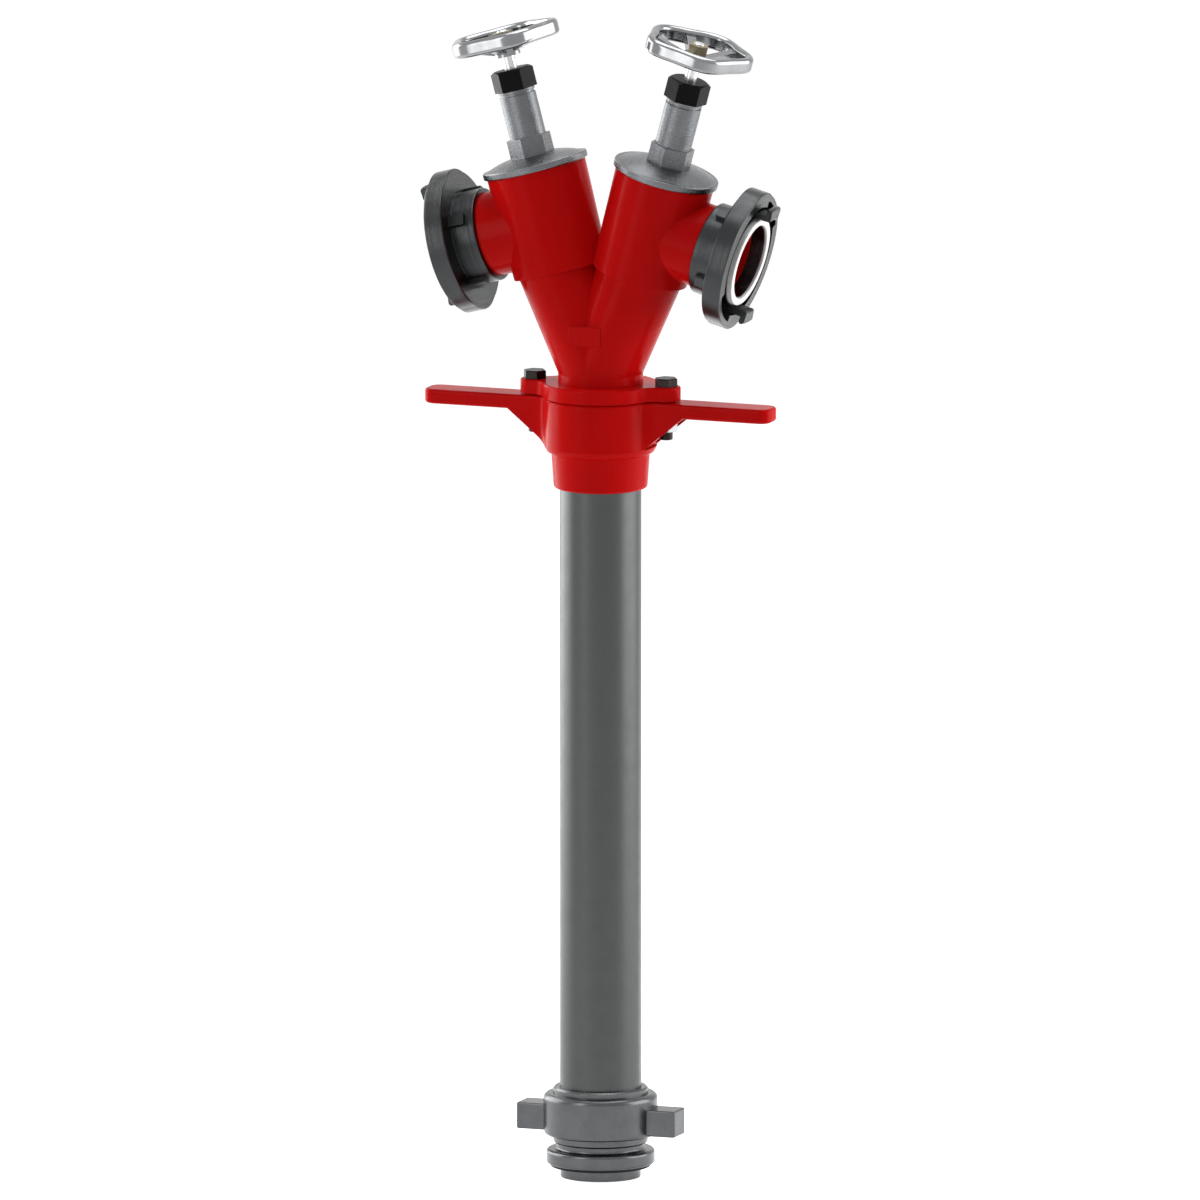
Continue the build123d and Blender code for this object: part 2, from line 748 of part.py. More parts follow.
def coupling(side):
    """Claw coupling: sleeve with spanner lugs, lipped ring with two windows, two hooks."""
    plane = outlet_plane(side)
    axis = Axis(plane.origin, plane.z_dir)
    web_front = coupling_ring_back + coupling_web
    lip_back = coupling_ring_front - coupling_lip
    hook_end = coupling_ring_front + hook_reach
    gasket_seat = outlet_face - gasket_depth - seal_gap
    core_front = outlet_face - coupling_core_drop
    inner_lip_front = outlet_face - coupling_inner_lip_drop
    ring_over = inner_lip_front + 1
    with BuildPart() as body:
        extrude(
            plane.offset(coupling_ring_back) * ring_plan(),
            amount=coupling_ring_front - coupling_ring_back,
        )
        ends = body.faces().filter_by(axis)
        fillet(ends.edges(), coupling_edge_round)
        with BuildSketch(plane.offset(coupling_back)):
            Circle(coupling_sleeve_r)
        extrude(amount=coupling_ring_back - coupling_back + 1)
        fillet(body.faces().sort_by(axis)[0].edges(), coupling_edge_round)
        for turn in range(spanner_lugs):
            with BuildSketch(plane.offset(coupling_ring_back - spanner_lug_length)):
                with PolarLocations(0, 1, start_angle=spanner_lug_turn + 360 / spanner_lugs * turn):
                    with Locations((spanner_lug_r - spanner_lug_depth / 2, 0)):
                        Rectangle(spanner_lug_depth, spanner_lug_width)
            extrude(amount=spanner_lug_length + 1)
        # Inside: the stub's socket, the waterway, the gasket's seat and the undercut
        revolve(outline(
            plane,
            (0, coupling_back - 1),
            (stub_r + joint_gap, coupling_back - 1),
            (stub_r + joint_gap, stub_end + face_gap),
            (coupling_bore_r, stub_end + face_gap),
            (coupling_bore_r, inner_lip_front),
            (coupling_inner_lip_r, inner_lip_front),
            (coupling_inner_lip_r, gasket_seat),
            (gasket_r + seal_gap, gasket_seat),
            (gasket_r + seal_gap, core_front),
            (coupling_core_r, core_front),
            (coupling_core_r, ring_over),
            (0, ring_over),
        ), axis=axis, mode=Mode.SUBTRACT)
        revolve(outline(
            plane,
            (coupling_core_r, web_front),
            (coupling_rim_r, web_front),
            (coupling_rim_r, lip_back),
            (coupling_lip_r, lip_back),
            (coupling_lip_r, ring_over),
            (coupling_core_r, ring_over),
        ), axis=axis, mode=Mode.SUBTRACT)
        for turn in (0, 180):
            window = (turn - window_end, turn - window_start)
            extrude(
                ring_sector(plane.offset(lip_back - 1), coupling_core_r, coupling_rim_r, *window),
                amount=coupling_lip + 2,
                mode=Mode.SUBTRACT,
            )
            hook_start = turned(plane, turn - hook_half_angle)
            hook = outline(
                hook_start,
                (hook_inner_r, web_front - 1),
                (hook_outer_r, web_front - 1),
                (hook_outer_r, hook_end - hook_head),
                (hook_head_r - hook_ease, hook_end - hook_head),
                (hook_head_r, hook_end - hook_head + hook_ease),
                (hook_head_r, hook_end - hook_nose_ease),
                (hook_head_r - hook_nose_ease, hook_end),
                (hook_inner_r + hook_ease, hook_end),
                (hook_inner_r, hook_end - hook_ease),
            )
            revolve(hook, axis=axis, revolution_arc=2 * hook_half_angle)
    return body.part


def gasket(side):
    """Flat ring that seals against the mating coupling and stands a little proud."""
    plane = outlet_plane(side)
    with BuildPart() as body:
        with BuildSketch(plane.offset(outlet_face)):
            Circle(gasket_r)
            Circle(gasket_bore_r, mode=Mode.SUBTRACT)
        extrude(amount=-gasket_depth)
        fillet(body.faces().sort_by(Axis(plane.origin, plane.z_dir))[-1].edges(), gasket_round)
    return body.part


# Heights along the valve axis with the valve shut
seal_bottom = seat_height + seat_lip + seal_gap
plate_bottom = seal_bottom + disc_seal_thickness
disc_hub_top = screw_bottom - free_gap
foot_bottom = screw_bottom - spindle_neck - spindle_foot_height
disc_screw_top = foot_bottom - disc_floor


def valve_disc(side):
    """Disc with a recess for its seal, a spigot through the seal and the spindle's hub."""
    plane = valve_plane(side)
    with BuildPart() as body:
        revolve(outline(
            plane,
            (disc_screw_r + joint_gap, seal_bottom),
            (disc_seal_bore_r - seal_gap, seal_bottom),
            (disc_seal_bore_r - seal_gap, plate_bottom + seal_gap),
            (disc_seal_r + seal_gap, plate_bottom + seal_gap),
            (disc_seal_r + seal_gap, plate_bottom - disc_seal_recess),
            (disc_r, plate_bottom - disc_seal_recess),
            (disc_r, plate_bottom + disc_plate),
            (disc_hub_r + disc_hub_flare, plate_bottom + disc_plate + disc_hub_flare_low),
            (disc_hub_r, plate_bottom + disc_plate + disc_hub_flare_high),
            (disc_hub_r, disc_hub_top),
            (spindle_neck_r + running_gap, disc_hub_top),
            (spindle_neck_r + running_gap, foot_bottom + spindle_foot_height + face_gap),
            (spindle_foot_r + running_gap, foot_bottom + spindle_foot_height + face_gap),
            (spindle_foot_r + running_gap, foot_bottom - face_gap),
            (0, foot_bottom - face_gap),
            (0, disc_screw_top + joint_gap),
            (disc_screw_r + joint_gap, disc_screw_top + joint_gap),
        ), axis=Axis(plane.origin, plane.z_dir))
    return body.part


def disc_seal(side):
    """Flat rubber ring that closes on the seat's lip."""
    plane = valve_plane(side)
    with BuildPart() as body:
        with BuildSketch(plane.offset(seal_bottom)):
            Circle(disc_seal_r)
            Circle(disc_seal_bore_r, mode=Mode.SUBTRACT)
        extrude(amount=disc_seal_thickness)
    return body.part


def disc_screw(side):
    """Hexagon screw with a broad washer face that holds the seal on the disc."""
    plane = valve_plane(side)
    washer_top = seal_bottom - joint_gap
    with BuildPart() as body:
        with BuildSketch(plane.offset(washer_top)):
            Circle(disc_washer_r)
        extrude(amount=-disc_washer_thickness)
        with BuildSketch(plane.offset(washer_top - disc_washer_thickness)):
            RegularPolygon(disc_screw_head_af / 2, 6, major_radius=False)
        extrude(amount=-disc_screw_head)
        with BuildSketch(plane.offset(washer_top - 1)):
            Circle(disc_screw_r)
        extrude(amount=disc_screw_top - washer_top + 1)
    return body.part


def spindle(side):
    """Spindle: captive foot, neck, screw, smooth stem, square for the wheel and its thread."""
    plane = valve_plane(side)
    thread_bottom = wheel_hub_bottom + wheel_hub_height - wheel_seat_play
    with BuildPart() as body:
        revolve(outline(
            plane,
            (0, foot_bottom),
            (spindle_foot_r, foot_bottom),
            (spindle_foot_r, foot_bottom + spindle_foot_height),
            (spindle_neck_r, foot_bottom + spindle_foot_height),
            (spindle_neck_r, screw_bottom),
            (screw_r, screw_bottom),
            (screw_r, screw_top),
            (stem_r, screw_top + screw_runout),
            (stem_r, wheel_hub_bottom),
            (0, wheel_hub_bottom),
        ), axis=Axis(plane.origin, plane.z_dir))
        with BuildSketch(plane.offset(wheel_hub_bottom)):
            Circle(stem_r)
            Rectangle(wheel_square, wheel_square, mode=Mode.INTERSECT)
        extrude(amount=thread_bottom - wheel_hub_bottom)
        with BuildSketch(plane.offset(thread_bottom)):
            Circle(wheel_thread_r)
        extrude(amount=wheel_nut_height + spindle_overhang)
        chamfer(body.faces().sort_by(Axis(plane.origin, plane.z_dir))[-1].edges(), spindle_end_chamfer)
    return body.part


def lobed_plan(plane, inset):
    """The wheel's wavy outline, drawn in by the inset; the arms meet it where it dips."""
    step = 360 / (wheel_lobes * wheel_points)
    points = []
    for index in range(wheel_lobes * wheel_points):
        angle = math.radians(step * index)
        swell = (1 - math.cos(wheel_lobes * angle)) / 2
        radius = wheel_reach - inset - wheel_pinch * (1 - swell)
        points.append((radius * math.cos(angle), radius * math.sin(angle)))
    with BuildSketch(plane) as shape:
        with BuildLine():
            Spline(*points, periodic=True)
        make_face()
    return shape.sketch


def handwheel(side):
    """Five-lobed handwheel with a round rim, sloping arms and a hub on the spindle's square."""
    plane = turned(valve_plane(side), wheel_turn[side])
    rim_bottom = wheel_rim_centre - wheel_rim_height / 2
    hub_top = wheel_hub_bottom + wheel_hub_height
    arm_reach = wheel_reach - wheel_pinch - wheel_rim_width / 2
    with BuildPart() as body:
        extrude(lobed_plan(plane.offset(rim_bottom), 0), amount=wheel_rim_height)
        extrude(
            lobed_plan(plane.offset(rim_bottom), wheel_rim_width),
            amount=wheel_rim_height,
            mode=Mode.SUBTRACT,
        )
        fillet(body.edges().group_by(Axis(plane.origin, plane.z_dir))[0], wheel_rim_round)
        fillet(body.edges().group_by(Axis(plane.origin, plane.z_dir))[-1], wheel_rim_round)
        for arm in range(wheel_lobes):
            arm_plane = turned(plane, 360 / wheel_lobes * arm)
            extrude(outline(
                arm_plane,
                (wheel_hub_r - wheel_arm_root, wheel_hub_bottom + wheel_arm_step),
                (wheel_hub_r - wheel_arm_root, hub_top - wheel_arm_step),
                (arm_reach, wheel_rim_centre + wheel_arm_depth / 2),
                (arm_reach, wheel_rim_centre - wheel_arm_depth / 2),
            ), amount=wheel_arm_width / 2, both=True)
        with BuildSketch(plane.offset(wheel_hub_bottom)):
            Circle(wheel_hub_r)
        extrude(amount=wheel_hub_height)
        with BuildSketch(valve_plane(side).offset(wheel_hub_bottom)):
            Rectangle(wheel_square + 2 * joint_gap, wheel_square + 2 * joint_gap)
        extrude(amount=wheel_hub_height, mode=Mode.SUBTRACT)
        with BuildSketch(plane.offset(hub_top - wheel_counterbore)):
            Circle(wheel_thread_r + wheel_counterbore_play)
        extrude(amount=wheel_counterbore, mode=Mode.SUBTRACT)
    return body.part


def wheel_nut(side):
    """Hexagon nut on the spindle's end."""
    plane = valve_plane(side)
    with BuildPart() as body:
        with BuildSketch(plane.offset(wheel_hub_bottom + wheel_hub_height)):
            RegularPolygon(wheel_nut_af / 2, 6, major_radius=False, rotation=wheel_turn[side])
            Circle(wheel_thread_r + joint_gap, mode=Mode.SUBTRACT)
        extrude(amount=wheel_nut_height)
    return body.part


for name, side in sides:
    save(coupling(side), f"{name}_coupling")
    save(gasket(side), f"{name}_gasket")
    save(valve_disc(side), f"{name}_valve_disc")
    save(disc_seal(side), f"{name}_disc_seal")
    save(disc_screw(side), f"{name}_disc_screw")
    save(spindle(side), f"{name}_spindle")
    save(handwheel(side), f"{name}_handwheel")
    save(wheel_nut(side), f"{name}_wheel_nut")
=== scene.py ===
# %% [markdown]
# # A hydrant standpipe
# A standpipe stands on an underground hydrant and carries its water up to two hose outlets.
# The solids come from the CAD frame, in metres, with Z up the pipe and X along the outlets.
# This script gives every piece its finish, adds the small cast pad, and sets light and camera.

# %% Load the frame
import math

import bmesh
import bpy
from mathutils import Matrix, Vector


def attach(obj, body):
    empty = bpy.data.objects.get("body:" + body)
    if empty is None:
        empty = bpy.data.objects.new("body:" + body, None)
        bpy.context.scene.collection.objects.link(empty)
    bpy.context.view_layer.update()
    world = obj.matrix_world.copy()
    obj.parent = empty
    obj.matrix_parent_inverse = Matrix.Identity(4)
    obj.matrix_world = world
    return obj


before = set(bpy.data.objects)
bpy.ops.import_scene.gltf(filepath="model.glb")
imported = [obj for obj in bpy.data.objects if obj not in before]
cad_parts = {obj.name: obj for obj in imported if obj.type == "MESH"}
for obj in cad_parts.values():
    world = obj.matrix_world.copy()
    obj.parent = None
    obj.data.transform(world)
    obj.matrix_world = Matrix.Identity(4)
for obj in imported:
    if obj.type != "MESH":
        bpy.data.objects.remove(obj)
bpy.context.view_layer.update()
print("nodes:", len(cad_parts))

# %% [markdown]
# ## Shader effects that several finishes share
# Each effect is a node group, built once, so that a change to it reaches every finish.
# A group puts out only values, masks and normals; the shader itself stays in the material.
# They all read the object's own coordinates, so the grain stays put when a piece moves.

# %% Helpers that start a group, use one and add a sum
FLOAT, VECTOR = "NodeSocketFloat", "NodeSocketVector"


def start_group(name, inputs, outputs):
    group = bpy.data.node_groups.new(name, "ShaderNodeTree")
    for label, kind, value in inputs:
        socket = group.interface.new_socket(label, in_out="INPUT", socket_type=kind)
        socket.default_value = value
    for label, kind in outputs:
        group.interface.new_socket(label, in_out="OUTPUT", socket_type=kind)
    given = group.nodes.new("NodeGroupInput")
    out = group.nodes.new("NodeGroupOutput")
    return group, given, out


def use_group(tree, group, settings):
    node = tree.nodes.new("ShaderNodeGroup")
    node.node_tree = group
    for label, value in settings.items():
        node.inputs[label].default_value = value
    return node


def math_node(tree, operation, a, b):
    node = tree.nodes.new("ShaderNodeMath")
    node.operation = operation
    for socket, value in zip(node.inputs, (a, b)):
        if isinstance(value, (int, float)):
            socket.default_value = value
        else:
            tree.links.new(value, socket)
    return node.outputs[0]


# %% [markdown]
# ### Cast grain
# Sand-cast metal keeps the fine grit of its mould, and paint over it keeps a softer trace.
# One noise gives the grit and a coarser one the slow unevenness of a hand-dressed surface.

# %% Cast grain group
GRIT_DETAIL = 3.0
WAVE_DETAIL = 1.5

cast_grain, given, out = start_group(
    "cast grain",
    [("Grit size", FLOAT, 0.0012), ("Wave size", FLOAT, 0.03), ("Grit share", FLOAT, 0.5)],
    [("Height", FLOAT)],
)
place = cast_grain.nodes.new("ShaderNodeTexCoord")
grit = cast_grain.nodes.new("ShaderNodeTexNoise")
grit.inputs["Detail"].default_value = GRIT_DETAIL
wave = cast_grain.nodes.new("ShaderNodeTexNoise")
wave.inputs["Detail"].default_value = WAVE_DETAIL
for noise, size in ((grit, "Grit size"), (wave, "Wave size")):
    scale = math_node(cast_grain, "DIVIDE", 1.0, given.outputs[size])
    cast_grain.links.new(place.outputs["Object"], noise.inputs["Vector"])
    cast_grain.links.new(scale, noise.inputs["Scale"])
gritty = math_node(cast_grain, "MULTIPLY", grit.outputs["Fac"], given.outputs["Grit share"])
height = math_node(cast_grain, "ADD", gritty, wave.outputs["Fac"])
cast_grain.links.new(height, out.inputs["Height"])
print("group:", cast_grain.name)

# %% [markdown]
# ### Turning lines
# A lathe leaves fine rings round the axis it turned the piece on.
# The group measures how far a point lies along that axis and away from it, and stretches a
# noise over those two lengths only, so every line runs right round the piece.

# %% Turning lines group
LINE_DETAIL = 3.0

turning_lines, given, out = start_group(
    "turning lines",
    [("Centre", VECTOR, (0, 0, 0)), ("Axis", VECTOR, (0, 0, 1)), ("Lines per metre", FLOAT, 1800.0)],
    [("Lines", FLOAT)],
)


def vector_node(operation, a, b=None):
    node = turning_lines.nodes.new("ShaderNodeVectorMath")
    node.operation = operation
    turning_lines.links.new(a, node.inputs[0])
    if b is not None:
        turning_lines.links.new(b, node.inputs[1])
    return node.outputs


place = turning_lines.nodes.new("ShaderNodeTexCoord")
offset = vector_node("SUBTRACT", place.outputs["Object"], given.outputs["Centre"])["Vector"]
along = vector_node("DOT_PRODUCT", offset, given.outputs["Axis"])["Value"]
across = vector_node("CROSS_PRODUCT", offset, given.outputs["Axis"])["Vector"]
away = vector_node("LENGTH", across)["Value"]
rings = turning_lines.nodes.new("ShaderNodeCombineXYZ")
for socket, length in (("X", along), ("Y", away)):
    scaled = math_node(turning_lines, "MULTIPLY", length, given.outputs["Lines per metre"])
    turning_lines.links.new(scaled, rings.inputs[socket])
noise = turning_lines.nodes.new("ShaderNodeTexNoise")
noise.noise_dimensions = "2D"
noise.inputs["Scale"].default_value = 1.0
noise.inputs["Detail"].default_value = LINE_DETAIL
turning_lines.links.new(rings.outputs[0], noise.inputs["Vector"])
turning_lines.links.new(noise.outputs["Fac"], out.inputs["Lines"])
print("group:", turning_lines.name)

# %% [markdown]
# ### Handling marks
# Metal that is carried to a hydrant and back is never quite even: hands and cloths leave
# patches that are a little duller. The mask is a soft cloud that each finish mixes in by taste.

# %% Handling marks group
CLOUD_DETAIL = 5.0
CLOUD_ROUGHNESS = 0.6
CLEAN_BELOW = 0.42
MARKED_ABOVE = 0.68

handling, given, out = start_group(
    "handling marks",
    [("Patch size", FLOAT, 0.02), ("Amount", FLOAT, 0.3)],
    [("Mask", FLOAT)],
)
place = handling.nodes.new("ShaderNodeTexCoord")
cloud = handling.nodes.new("ShaderNodeTexNoise")
cloud.inputs["Detail"].default_value = CLOUD_DETAIL
cloud.inputs["Roughness"].default_value = CLOUD_ROUGHNESS
scale = math_node(handling, "DIVIDE", 1.0, given.outputs["Patch size"])
handling.links.new(place.outputs["Object"], cloud.inputs["Vector"])
handling.links.new(scale, cloud.inputs["Scale"])
spread = handling.nodes.new("ShaderNodeMapRange")
spread.inputs["From Min"].default_value = CLEAN_BELOW
spread.inputs["From Max"].default_value = MARKED_ABOVE
handling.links.new(cloud.outputs["Fac"], spread.inputs["Value"])
mask = math_node(handling, "MULTIPLY", spread.outputs[0], given.outputs["Amount"])
handling.links.new(mask, out.inputs["Mask"])
print("group:", handling.name)

# %% [markdown]
# ### Soft edges
# No cast or machined edge is perfectly sharp: a hand-held file or the mould rounds it by a
# few tenths of a millimetre, and that round is what catches the light. The Bevel node bends
# the normals near an edge, which shows the round without a change to the mesh.

# %% Soft edges group
EDGE_ROUND = 0.0006
EDGE_SAMPLES = 4

soft_edges, given, out = start_group("soft edges", [("Radius", FLOAT, EDGE_ROUND)], [("Normal", VECTOR)])
bevel = soft_edges.nodes.new("ShaderNodeBevel")
bevel.samples = EDGE_SAMPLES
soft_edges.links.new(given.outputs["Radius"], bevel.inputs["Radius"])
soft_edges.links.new(bevel.outputs["Normal"], out.inputs["Normal"])
print("group:", soft_edges.name)

# %% [markdown]
# ## The finishes
# Every finish is one Principled shader. Small helpers start it and wire what all of them need:
# a colour and a roughness that shift a little with the handling marks, and a fine relief.

# %% Helpers that start a finish and give it relief
def start_finish(name, colour, marked, roughness, marked_roughness, patch=0.02, amount=0.4):
    material = bpy.data.materials.new(name)
    material.use_nodes = True
    tree = material.node_tree
    shader = tree.nodes["Principled BSDF"]
    marks = use_group(tree, handling, {"Patch size": patch, "Amount": amount})
    tint = tree.nodes.new("ShaderNodeMix")
    tint.data_type = "RGBA"
    tint.inputs["A"].default_value = (*colour, 1)
    tint.inputs["B"].default_value = (*marked, 1)
    tree.links.new(marks.outputs["Mask"], tint.inputs["Factor"])
    tree.links.new(tint.outputs["Result"], shader.inputs["Base Color"])
    dull = tree.nodes.new("ShaderNodeMapRange")
    dull.inputs["To Min"].default_value = roughness
    dull.inputs["To Max"].default_value = marked_roughness
    tree.links.new(marks.outputs["Mask"], dull.inputs["Value"])
    tree.links.new(dull.outputs[0], shader.inputs["Roughness"])
    return material, tree, shader


def grain_height(tree, grit_size, wave_size, share):
    settings = {"Grit size": grit_size, "Wave size": wave_size, "Grit share": share}
    return use_group(tree, cast_grain, settings).outputs["Height"]


def add_bump(tree, shader, height, strength, distance):
    edges = use_group(tree, soft_edges, {"Radius": EDGE_ROUND})
    bump = tree.nodes.new("ShaderNodeBump")
    tree.links.new(edges.outputs["Normal"], bump.inputs["Normal"])
    bump.inputs["Strength"].default_value = strength
    bump.inputs["Distance"].default_value = distance
    tree.links.new(height, bump.inputs["Height"])
    tree.links.new(bump.outputs["Normal"], shader.inputs["Normal"])


# %% [markdown]
# ### Red enamel
# The head, the flange and the handle collar are painted castings. The paint is thick, so it
# rounds off the grit and leaves a faint orange-peel wave. Its mirror share is kept low: in a
# white room it would wash the deep red out.

# %% Red enamel
ENAMEL_RED = (0.52, 0.0035, 0.0035)
ENAMEL_MARKED = (0.46, 0.004, 0.004)
ENAMEL_ROUGHNESS = 0.20
ENAMEL_MARKED_ROUGHNESS = 0.30
ENAMEL_PATCH = 0.05
ENAMEL_MARKS = 0.5
ENAMEL_SHINE = 0.03
ORANGE_PEEL_SIZE = 0.0035
ENAMEL_WAVE_SIZE = 0.02
ORANGE_PEEL_SHARE = 0.25
ENAMEL_RELIEF = 0.10
ENAMEL_DEPTH = 0.0008

red_enamel, tree, shader = start_finish(
    "red enamel", ENAMEL_RED, ENAMEL_MARKED, ENAMEL_ROUGHNESS, ENAMEL_MARKED_ROUGHNESS,
    patch=ENAMEL_PATCH, amount=ENAMEL_MARKS)
shader.inputs["Specular IOR Level"].default_value = ENAMEL_SHINE
peel = grain_height(tree, ORANGE_PEEL_SIZE, ENAMEL_WAVE_SIZE, ORANGE_PEEL_SHARE)
add_bump(tree, shader, peel, ENAMEL_RELIEF, ENAMEL_DEPTH)
print("finish:", red_enamel.name)

# %% [markdown]
# ### Bare metals
# The foot, the claw nut, the bonnets and the couplings are light-alloy castings with turned
# faces; the wheels are polished, and bolts, nuts and stems are steel or brass. One recipe
# serves them all: turning lines on the piece's own axis, with cast grain under them.

# %% A recipe for metals
METAL_PATCH = 0.018
METAL_GRIT_SIZE = 0.0011
METAL_WAVE_SIZE = 0.03

METALS = {
    "foot aluminium": dict(
        colour=(0.090, 0.093, 0.097), marked=(0.066, 0.068, 0.071), roughness=0.26),
    "pipe metal": dict(
        colour=(0.066, 0.070, 0.069), marked=(0.058, 0.062, 0.060), roughness=0.34,
        lines=900.0, line_bump=0.06, grit=0.1),
    "dark bolt steel": dict(
        colour=(0.022, 0.018, 0.017), marked=(0.016, 0.013, 0.012), roughness=0.36),
    "zinc plated steel": dict(
        colour=(0.24, 0.245, 0.25), marked=(0.19, 0.19, 0.195), roughness=0.32),
    "bonnet aluminium": dict(
        colour=(0.128, 0.133, 0.139), marked=(0.092, 0.096, 0.101), roughness=0.25,
        line_bump=0.35, grit=1.4, depth=0.0006),
    "coupling aluminium": dict(
        colour=(0.042, 0.044, 0.045), marked=(0.030, 0.031, 0.032), roughness=0.20,
        line_bump=0.5, depth=0.0005),
    "polished wheel": dict(
        colour=(0.24, 0.244, 0.25), marked=(0.17, 0.173, 0.178), roughness=0.16,
        line_bump=0.04, grit=0.4, spread=0.10),
    "spindle steel": dict(
        colour=(0.58, 0.59, 0.60), marked=(0.5, 0.5, 0.5), roughness=0.24),
    "valve brass": dict(
        colour=(0.22, 0.19, 0.12), marked=(0.17, 0.15, 0.10), roughness=0.32),
}


def metal(kind, centre, axis, side_name=""):
    return turned_metal(f"{side_name} {kind}".strip(), centre, axis, **METALS[kind])


def turned_metal(name, centre, axis, colour, marked, roughness, lines=1800.0, line_bump=0.15,
                 grit=0.3, spread=0.12, depth=0.0003):
    material, tree, shader = start_finish(
        name, colour, marked, roughness, roughness + spread, patch=METAL_PATCH)
    shader.inputs["Metallic"].default_value = 1.0
    turned = use_group(tree, turning_lines, {"Centre": centre, "Axis": axis, "Lines per metre": lines})
    grain = grain_height(tree, METAL_GRIT_SIZE, METAL_WAVE_SIZE, grit)
    add_bump(tree, shader, math_node(tree, "ADD", turned.outputs["Lines"], grain), line_bump, depth)
    print("finish:", name)
    return material


# %% [markdown]
# ### Metals on the pipe's own axis
# The foot, the tube, the bolts and the nuts were all turned on upright axes. Their lines run
# level round the pipe.

# %% Metals on the pipe's axis
PIPE_FOOT = (0, 0, 0)
PIPE_AXIS = (0, 0, 1)

foot_aluminium = metal("foot aluminium", PIPE_FOOT, PIPE_AXIS)
pipe_metal = metal("pipe metal", PIPE_FOOT, PIPE_AXIS)
bolt_steel = metal("dark bolt steel", PIPE_FOOT, PIPE_AXIS)
zinc_steel = metal("zinc plated steel", PIPE_FOOT, PIPE_AXIS)

# %% [markdown]
# ### Rubber, gasket, packing and the black gland
# Rubber is dull and never quite black, and the lip gaskets are pale. The packing is greased
# fibre. The gland nuts are coated black.

# %% A recipe for what is not bare metal
PLAIN_GRIT_SIZE = 0.0009
PLAIN_WAVE_SIZE = 0.02
PLAIN_GRIT_SHARE = 0.4
PLAIN_SPREAD = 0.12
PLAIN_RELIEF = 0.15
PLAIN_DEPTH = 0.0003


def plain(name, colour, marked, roughness, shine=0.5):
    material, tree, shader = start_finish(name, colour, marked, roughness, roughness + PLAIN_SPREAD)
    shader.inputs["Specular IOR Level"].default_value = shine
    grain = grain_height(tree, PLAIN_GRIT_SIZE, PLAIN_WAVE_SIZE, PLAIN_GRIT_SHARE)
    add_bump(tree, shader, grain, PLAIN_RELIEF, PLAIN_DEPTH)
    print("finish:", name)
    return material


black_rubber = plain("black rubber", (0.012, 0.012, 0.012), (0.02, 0.02, 0.02), 0.62, shine=0.15)
white_gasket = plain("white gasket", (0.86, 0.86, 0.85), (0.78, 0.78, 0.76), 0.5)
gland_black = plain(
    "black gland coating", (0.003, 0.003, 0.003), (0.008, 0.008, 0.008), 0.34, shine=0.06)
packing_fibre = plain("packing fibre", (0.16, 0.15, 0.13), (0.10, 0.10, 0.09), 0.8)

# %% [markdown]
# ## Dressing the frame
# Each CAD node keeps its shape and takes a finish. The pieces on the pipe come first.

# %% Dress the pieces on the pipe
def dress(material, *names):
    for name in names:
        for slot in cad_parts[name].material_slots:
            slot.material = material


dress(red_enamel, "head_casting", "clamp_flange", "handle_collar")
dress(foot_aluminium, "foot_piece", "claw_nut")
dress(pipe_metal, "standpipe_tube")
dress(bolt_steel, "flange_bolts")
dress(zinc_steel, "flange_nuts", "neck_ring")
dress(black_rubber, "foot_seal", "neck_seals")
print("pieces on the pipe have their finishes")

# %% [markdown]
# ### The two valves and outlets
# The valves lean out from the pipe, and each outlet stands square to its valve. So their
# turned metals are made once for each side, with that side's axis.

# %% Dress the two valves and outlets
VALVE_LEAN = math.radians(15)
VALVE_MEET = Vector((0, 0, 0.700))
OUTLET_ALONG = 0.1943


def valve_axis(side):
    return Vector((side * math.sin(VALVE_LEAN), 0, math.cos(VALVE_LEAN)))


def outlet_axis(side):
    return Vector((side * math.cos(VALVE_LEAN), 0, -math.sin(VALVE_LEAN)))


for side_name, side in (("left", -1), ("right", 1)):
    valve = valve_axis(side)
    outlet_centre = VALVE_MEET + valve * OUTLET_ALONG
    bonnet_metal = metal("bonnet aluminium", VALVE_MEET, valve, side_name)
    coupling_metal = metal("coupling aluminium", outlet_centre, outlet_axis(side), side_name)
    wheel_metal = metal("polished wheel", VALVE_MEET, valve, side_name)
    stem_steel = metal("spindle steel", VALVE_MEET, valve, side_name)
    valve_brass = metal("valve brass", VALVE_MEET, valve, side_name)
    dress(bonnet_metal, f"{side_name}_bonnet")
    dress(coupling_metal, f"{side_name}_coupling")
    dress(wheel_metal, f"{side_name}_handwheel")
    dress(stem_steel, f"{side_name}_spindle", f"{side_name}_disc_screw")
    dress(valve_brass, f"{side_name}_valve_disc", f"{side_name}_wheel_nut")
    dress(gland_black, f"{side_name}_gland_nut")
    dress(white_gasket, f"{side_name}_gasket")
    dress(black_rubber, f"{side_name}_bonnet_seal", f"{side_name}_disc_seal")
    dress(packing_fibre, f"{side_name}_packing")

bare = [name for name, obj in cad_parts.items() if not all(
    slot.material and slot.material.use_nodes for slot in obj.material_slots)]
print("nodes without a finish:", bare)

# %% [markdown]
# ## The cast pad
# A small raised plate is cast on the front of the fork, where the two legs run together.
# It is a thin slab with rounded edges, sunk into the valley between the legs and left blank.

# %% Build the pad
PAD_LOW = Vector((-0.0175, -0.0402, 0.7795))
PAD_HIGH = Vector((0.0155, -0.028, 0.7985))
PAD_EDGE_ROUND = 0.0009
PAD_EDGE_STEPS = 3

